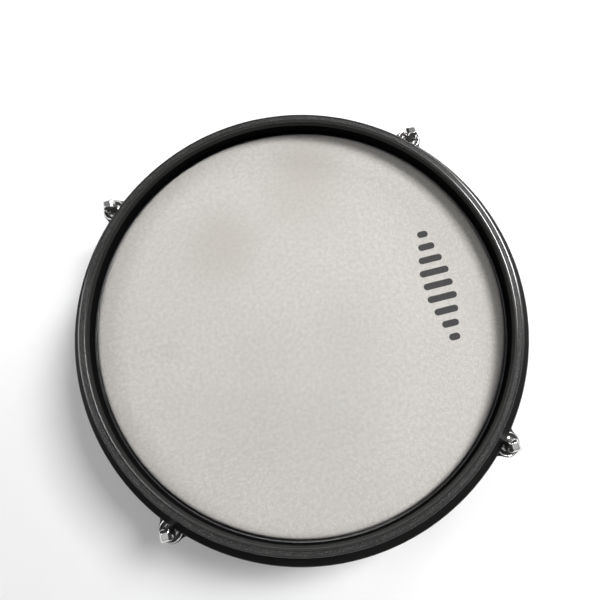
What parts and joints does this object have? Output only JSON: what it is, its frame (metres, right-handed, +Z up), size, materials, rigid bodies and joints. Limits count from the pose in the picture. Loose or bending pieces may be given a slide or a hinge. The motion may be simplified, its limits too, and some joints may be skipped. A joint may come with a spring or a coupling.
{
  "type": "electronic drum pad",
  "caption": "Round electronic drum pad: stretched mesh head, rubber-rimmed counter hoop on key-turned tension rods, shallow shell, trigger sensors, plug socket and rod holder underneath.",
  "frame": {"origin": "centre of the pad on the surface it stands on", "axes": "+Z up through the middle of the head, +X towards the rod holder and plug socket side, tension rods at 45 degrees to X and Y"},
  "size_m": [0.278, 0.278, 0.0767],
  "materials": {
    "black_abs": "fine moulded texture",
    "hoop_black": "satin powder coat",
    "rim_rubber": "pebbled, dull",
    "foot_rubber": "dull",
    "mesh_cloth": "two layers of woven mesh, pale warm grey",
    "chrome": "polished",
    "bare_aluminium": "drawn channel",
    "steel": "zinc plated",
    "brass": "rolled sheet or turned",
    "nylon": "natural nylon",
    "dark_foam": "closed-cell foam",
    "pale_foam": "open-cell foam",
    "board_green": "solder mask",
    "lead_red": "insulation",
    "lead_black": "insulation",
    "socket_black": "moulded"
  },
  "bodies": {
    "pad": {"shell": "black_abs", "bottom_cover": "black_abs", "bottom_cover_screws": "steel", "rubber_feet": "foot_rubber", "lug_casing_1": "black_abs", "lug_casing_2": "black_abs", "lug_casing_3": "black_abs", "lug_casing_4": "black_abs", "lug_swivel_nuts": "brass", "lug_screws": "steel", "mesh_head": "mesh_cloth", "sensor_bracket": "steel", "sensor_bracket_screws": "steel", "sensor_base_foam": "dark_foam", "head_piezo": "brass", "sensor_foam_cone": "pale_foam", "rim_piezo_pad": "nylon", "rim_piezo": "brass", "jack_socket": "socket_black", "jack_washer": "chrome", "jack_nut": "chrome", "jack_board": "board_green", "sensor_plug": "nylon", "head_piezo_lead": "lead_red", "rim_piezo_lead": "lead_black", "rod_holder": "black_abs", "rod_holder_screws": "steel", "rod_holder_nut": "steel"},
    "hoop": {"counter_hoop": "hoop_black", "flesh_hoop": "bare_aluminium", "hoop_rubber_rim": "rim_rubber", "rod_nylon_washers": "socket_black", "rod_cup_washers": "chrome"},
    "rod_1": {"tension_rod_1": "chrome"},
    "rod_2": {"tension_rod_2": "chrome"},
    "rod_3": {"tension_rod_3": "chrome"},
    "rod_4": {"tension_rod_4": "chrome"},
    "shoe": {"clamp_shoe": "brass"},
    "wing": {"wing_bolt": "chrome"}
  },
  "joints": [
    {"name": "hoop_travel", "type": "slide", "parent": "pad", "child": "hoop", "axis": [0, 0, 1], "range_m": [-0.002, 0.003]},
    {"name": "rod_turn_1", "type": "hinge", "parent": "hoop", "child": "rod_1", "pos_m": [0.09998, 0.09998, 0.06], "axis": [0, 0, 1], "range_deg": [-681, 1021]},
    {"name": "rod_turn_2", "type": "hinge", "parent": "hoop", "child": "rod_2", "pos_m": [-0.09998, 0.09998, 0.06], "axis": [0, 0, 1], "range_deg": [-681, 1021]},
    {"name": "rod_turn_3", "type": "hinge", "parent": "hoop", "child": "rod_3", "pos_m": [-0.09998, -0.09998, 0.06], "axis": [0, 0, 1], "range_deg": [-681, 1021]},
    {"name": "rod_turn_4", "type": "hinge", "parent": "hoop", "child": "rod_4", "pos_m": [0.09998, -0.09998, 0.06], "axis": [0, 0, 1], "range_deg": [-681, 1021]},
    {"name": "shoe_travel", "type": "slide", "parent": "pad", "child": "shoe", "axis": [0, -1, 0], "range_m": [-0.003, 0.0035]},
    {"name": "wing_bolt_turn", "type": "hinge", "parent": "shoe", "child": "wing", "pos_m": [0.101, 0.02, 0.0135], "axis": [0, -1, 0], "range_deg": [-1081, 1261]}
  ],
  "couplings": [
    {"joint": "rod_turn_1", "follows": "hoop_travel", "rad_per_m": 5936.9},
    {"joint": "rod_turn_2", "follows": "hoop_travel", "rad_per_m": 5936.9},
    {"joint": "rod_turn_3", "follows": "hoop_travel", "rad_per_m": 5936.9},
    {"joint": "rod_turn_4", "follows": "hoop_travel", "rad_per_m": 5936.9},
    {"joint": "wing_bolt_turn", "follows": "shoe_travel", "rad_per_m": 6283.2}
  ]
}
